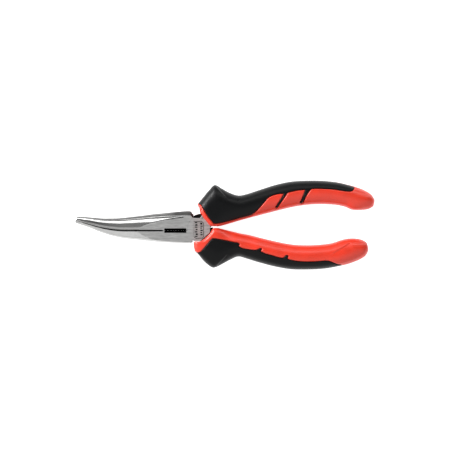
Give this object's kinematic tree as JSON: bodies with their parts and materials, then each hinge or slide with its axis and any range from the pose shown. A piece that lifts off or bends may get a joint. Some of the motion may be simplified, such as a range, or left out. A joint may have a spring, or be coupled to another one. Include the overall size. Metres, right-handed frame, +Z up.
{
  "type": "needle nose pliers",
  "caption": "Bent needle nose pliers with a side cutter, a half-lap joint and two-tone grips with finger guards.",
  "frame": {"origin": "centre of the closed pliers' footprint, on the surface that they lie on", "axes": "+X from the tip towards the handle ends, +Y from the lower handle towards the upper one, +Z up out of the front face"},
  "size_m": [0.2004, 0.0596, 0.016],
  "materials": {
    "lever_steel": "ground flats, polished nose",
    "rivet_steel": "ground flush",
    "grip_core": "smooth hard plastic, orange red",
    "grip_overmould": "soft matt black with a fine grain"
  },
  "bodies": {
    "rear_half": {"rear_lever": "lever_steel", "lower_grip_core": "grip_core", "lower_grip_overmould": "grip_overmould"},
    "front_half": {"front_lever": "lever_steel", "pivot_rivet": "rivet_steel", "upper_grip_core": "grip_core", "upper_grip_overmould": "grip_overmould"}
  },
  "joints": [
    {"name": "jaw_pivot", "type": "hinge", "parent": "rear_half", "child": "front_half", "pos_m": [-0.01535, -0.00261, 0.008], "axis": [0, 0, 1], "range_deg": [0, 24]}
  ]
}
